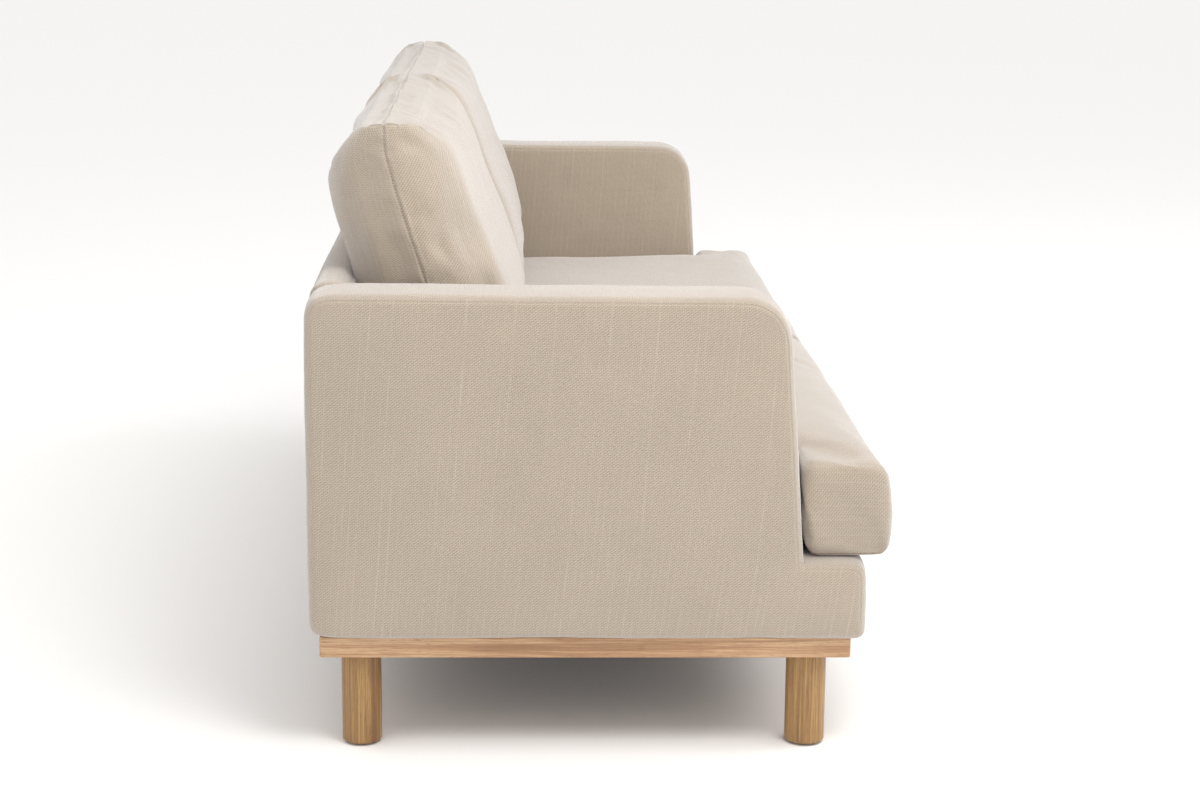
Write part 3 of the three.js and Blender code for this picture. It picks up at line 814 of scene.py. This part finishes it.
def make_zip(kind, side_name, cushion, across, out):
    """A closed zip along X, laid on its cushion: two tapes, the coil between them, a slider."""
    body = f"{kind}_cushion_{side_name}"
    low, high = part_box(f"{kind}_zip_{side_name}")
    middle = (low + high) / 2
    tree = BVHTree.FromObject(cushion, bpy.context.evaluated_depsgraph_get())

    def on_cloth(x, shift, lift):
        """The place `lift` out from the cover, found from well outside the cushion."""
        start = Vector((x, middle.y, middle.z)) + across * shift + out * 0.1
        return tree.ray_cast(start, -out)[0] + out * lift

    count, wide = 120, len(ZIP_SECTION)
    mesh = bpy.data.meshes.new(f"{kind}_zip_tape_{side_name}")
    rows = []
    for i in range(count + 1):
        x = low.x + (high.x - low.x) * i / count
        sunk = ZIP_END_SUNK if i in (0, count) else 0
        rows += [on_cloth(x, w / 1000, (lift - sunk) / 1000) for w, lift in ZIP_SECTION]
    faces = [(i * wide + j, i * wide + (j + 1) % wide, (i + 1) * wide + (j + 1) % wide,
              (i + 1) * wide + j) for i in range(count) for j in range(wide)]
    faces += [tuple(reversed(range(wide))), tuple(range(count * wide, (count + 1) * wide))]
    mesh.from_pydata(rows, [], faces)
    tape = link(mesh.name, mesh, ZIP_TAPE)

    b = bmesh.new()
    for size, shift in ZIP_SLIDER:
        made = bmesh.ops.create_cube(b, size=1)["verts"]
        bmesh.ops.scale(b, verts=made, vec=Vector(size) / 1000)
        bmesh.ops.translate(b, verts=made, vec=Vector(shift) / 1000)
    bmesh.ops.bevel(b, geom=b.edges[:], offset=0.0005, segments=2, affect="EDGES")
    inner_x = low.x if abs(low.x) < abs(high.x) else high.x
    place = on_cloth(inner_x + math.copysign(0.03, middle.x), 0, 0.001)
    basis = Matrix((Vector((1, 0, 0)), across, out)).transposed().to_4x4()
    b.transform(Matrix.Translation(place) @ basis)
    bmesh.ops.recalc_face_normals(b, faces=b.faces)
    mesh = bpy.data.meshes.new(f"{kind}_zip_slider_{side_name}")
    b.to_mesh(mesh)
    b.free()
    slider = link(mesh.name, mesh, STEEL)

    for piece, slot in ((tape, "nylon"), (slider, "steel")):
        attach(piece, body)
    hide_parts(f"{kind}_zip_{side_name}")


def make_leg(end, side_name):
    """A round leg, eased at the foot and slightly at the top."""
    low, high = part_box(f"leg_{end}_{side_name}")
    radius, ease, top_ease, steps = (high.x - low.x) / 2, 0.003, 0.0008, 64
    x, y = (low.x + high.x) / 2, (low.y + high.y) / 2
    profile = [(0.0, low.z), (radius * 0.6, low.z), (radius - ease, low.z)]
    profile += [(radius - ease + ease * math.sin(q), low.z + ease - ease * math.cos(q))
                for q in (math.pi / 8, math.pi / 4, math.pi * 3 / 8, math.pi / 2)]
    profile += [(radius, low.z + (high.z - low.z) * s) for s in (0.3, 0.6, 0.97)]
    profile += [(radius - top_ease, high.z), (radius * 0.5, high.z), (0.0, high.z)]
    b = bmesh.new()
    verts = [b.verts.new((r, 0, z)) for r, z in profile]
    for one, two in zip(verts, verts[1:]):
        b.edges.new((one, two))
    bmesh.ops.spin(b, geom=b.verts[:] + b.edges[:], cent=(0, 0, 0), axis=(0, 0, 1),
                   angle=2 * math.pi, steps=steps, use_merge=True)
    bmesh.ops.remove_doubles(b, verts=b.verts, dist=TOUCH)
    bmesh.ops.recalc_face_normals(b, faces=b.faces)
    bmesh.ops.translate(b, verts=b.verts, vec=(x, y, 0))
    mesh = bpy.data.meshes.new(f"turned_leg_{end}_{side_name}")
    b.to_mesh(mesh)
    b.free()
    leg = link(mesh.name, mesh, OAK[2])
    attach(leg, "frame")
    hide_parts(f"leg_{end}_{side_name}")


# --------------------------------------------------------------------- stage

def make_floor():
    """A plain pale floor, out to the horizon."""
    bpy.ops.mesh.primitive_plane_add(size=60, location=(0, 0, 0))
    floor = bpy.context.object
    floor.name = "floor"
    n = Nodes("floor")
    floor.data.materials.append(n.finish((0.93, 0.93, 0.93, 1), 0.9))


def make_light(name, place, target, size, power, colour):
    """A round area light, `size` across, that faces its target."""
    data = bpy.data.lights.new(name, "AREA")
    data.shape, data.size, data.energy, data.color = "DISK", size, power, colour
    light = bpy.data.objects.new(name, data)
    bpy.context.scene.collection.objects.link(light)
    light.location = place
    light.rotation_euler = (Vector(target) - Vector(place)).to_track_quat("-Z", "Y").to_euler()


def make_lights():
    """An even pale studio, a large key light high in front, and two soft ones at the near end."""
    world = bpy.data.worlds.new("studio")
    bpy.context.scene.world = world
    world.use_nodes = True
    sky = world.node_tree.nodes["Background"]
    sky.inputs["Color"].default_value = (1.0, 0.99, 0.975, 1)
    sky.inputs["Strength"].default_value = 0.98
    make_light("key", (0.2, -3.4, 3.6), (0, 0, 0.5), 2.6, 52, (1.0, 0.995, 0.985))
    make_light("side", (-2.1, -0.7, 2.4), (-1.0, -0.1, 0.6), 1.0, 19, (1.0, 0.98, 0.95))
    make_light("fill", (-1.4, -0.6, 2.7), (0.9, 0, 0.5), 1.6, 24, (1.0, 0.985, 0.95))


def make_camera():
    """Looks along +X at the left end of the sofa, from a little above it."""
    data = bpy.data.cameras.new("camera")
    data.sensor_width = 36.0
    data.lens = 71.1
    data.shift_x = 0.079
    camera = bpy.data.objects.new("camera", data)
    bpy.context.scene.collection.objects.link(camera)
    camera.location = (-4.188, 0.134, 1.213)
    camera.rotation_euler = (math.radians(90 - 12.38), 0, math.radians(-90))
    bpy.context.scene.camera = camera


make_camera()
bpy.context.scene.view_settings.view_transform = "Standard"
make_floor()
make_lights()
finish_cad_nodes()
for side_name, side in SIDES.items():
    make_arm(side_name, side)
    seat = make_seat_cushion(side_name, side)
    make_zip("seat", side_name, seat, Vector((0, 0, 1)), Vector((0, 1, 0)))
    cushion = make_back_cushion(side_name, side)
    make_zip("back", side_name, cushion, Vector((0, 1, 0)), Vector((0, 0, -1)))
    for end in ("front", "rear"):
        make_leg(end, side_name)
make_back()
make_border()
